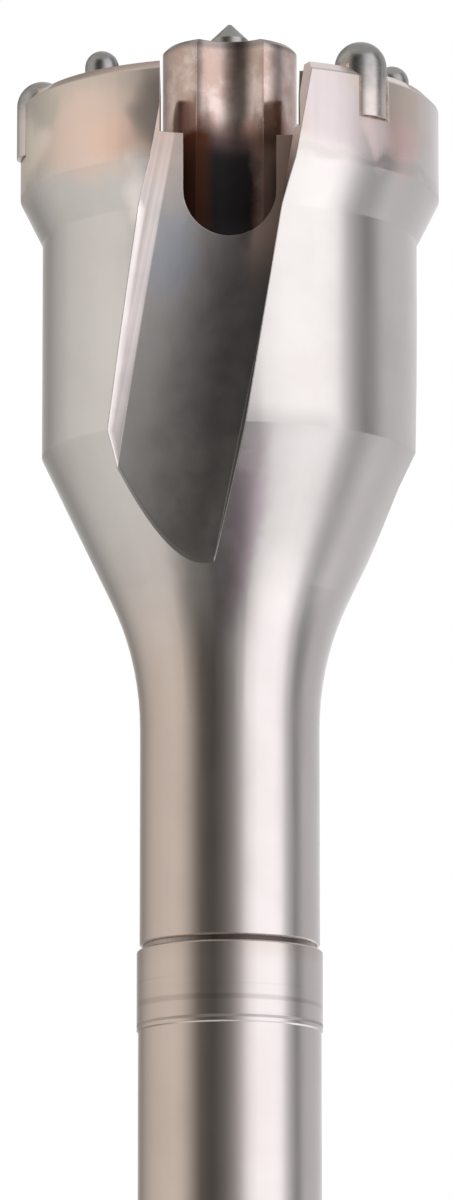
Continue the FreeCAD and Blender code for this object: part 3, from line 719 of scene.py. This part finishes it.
# A round disc: x and y are the radius times the azimuth's cosine and sine, with one radius for each row
def buildFloor():
    radius = np.array([0.0, 0.5, 1.0])[:, None] * studio["floorReach"]
    azimuth = np.linspace(0, 2 * math.pi, 64, endpoint=False)[None, :]
    points = np.stack([radius * np.cos(azimuth), radius * np.sin(azimuth), 0 * radius * azimuth], axis=-1)
    floor = gridMesh("floor", points)
    floor.visible_glossy = False
    material, tree = newMaterial("floorPaint")
    shader = addNode(tree, "ShaderNodeBsdfPrincipled", {"Roughness": 0.85})
    shader.inputs["Base Color"].default_value = (*studio["floorColour"], 1)
    addNode(tree, "ShaderNodeOutputMaterial", {"Surface": shader.outputs[0]})
    floor.data.materials.append(material)


# A drum round the bit with a flat roof, seen only by mirror rays: each row has one height and one radius, and
# x and y are that radius times the azimuth's cosine and sine; the cloth's brightness follows the azimuth
def buildTent():
    azimuth = np.linspace(0, 2 * math.pi, 96, endpoint=False)[None, :]
    low, high = studio["tentHeights"]
    height = np.array([low, 0.0, high, high])[:, None]
    radius = np.array([1.0, 1.0, 1.0, 0.01])[:, None] * studio["tentRadius"]
    points = np.stack([radius * np.cos(azimuth), radius * np.sin(azimuth), height + 0 * azimuth], axis=-1)
    tent = gridMesh("tent", points)
    for kind in ("camera", "diffuse", "transmission", "volume_scatter", "shadow"):
        setattr(tent, "visible_" + kind, False)
    material, tree = newMaterial("tentCloth")
    coordinate, parts, radius, azimuth, depth = placeOf(tree)
    place = calc(tree, "ADD", calc(tree, "DIVIDE", azimuth, 360.0), 0.5)
    # the ramps hold half of each brightness, because they stop at 1, and the product doubles it again
    cloths = []
    for cloth in (studio["lowerCloth"], studio["upperCloth"]):
        stops = [(degrees / 360 + 0.5, (level / 2, level / 2, level / 2)) for degrees, level in cloth]
        cloths.append(rampOf(tree, place, stops))
    wall = blendColour(tree, rangeOf(tree, parts[2], *studio["clothBlend"]), *cloths)
    inRoof = rangeOf(tree, parts[2], high - 0.02, high - 0.01)
    level = blendValue(tree, inRoof, product(tree, wall, 2.0), studio["roofLevel"])
    hue = blendColour(tree, rangeOf(tree, azimuth, -30.0, 30.0), studio["warmSide"], studio["coolSide"])
    shine = addNode(tree, "ShaderNodeEmission", {"Color": hue, "Strength": level})
    addNode(tree, "ShaderNodeOutputMaterial", {"Surface": shine.outputs[0]})
    tent.data.materials.append(material)


# A soft lamp from the right, which the floor and dull surfaces feel and the steel doesn't mirror
def buildLamp():
    data = bpy.data.lights.new("softLamp", "AREA")
    data.shape = "SQUARE"
    data.size = studio["lampSize"]
    data.energy = studio["lampPower"]
    lamp = bpy.data.objects.new("softLamp", data)
    bpy.context.scene.collection.objects.link(lamp)
    place = np.array(studio["lampPlace"])
    lamp.location = place
    across = math.hypot(place[0], place[1])
    lamp.rotation_euler = (math.atan2(across, place[2] - rimZ / 2), 0, math.atan2(place[0], -place[1]))
    lamp.visible_camera = False
    lamp.visible_glossy = False


buildWorld()
buildFloor()
buildTent()
buildLamp()
print("studio built")


# Camera: in front of the flute, a little below the crown and looking up at it

lensView = {
    "target": (-0.0004, 0.0, 0.31706),
    "distance": 0.85,
    "elevation": -10.5,
    "focalLength": 240.2,
    "sensorHeight": 36,
}


def buildCamera():
    data = bpy.data.cameras.new("camera")
    camera = bpy.data.objects.new("camera", data)
    bpy.context.scene.collection.objects.link(camera)
    tilt = math.radians(lensView["elevation"])
    x, y, z = lensView["target"]
    reach = lensView["distance"]
    camera.location = (x, y - reach * math.cos(tilt), z + reach * math.sin(tilt))
    camera.rotation_euler = (math.pi / 2 - tilt, 0, 0)
    data.sensor_fit = "VERTICAL"
    data.sensor_height = lensView["sensorHeight"]
    data.lens = lensView["focalLength"]
    bpy.context.scene.camera = camera


buildCamera()
bpy.context.scene.view_settings.view_transform = "Standard"
print("camera placed")
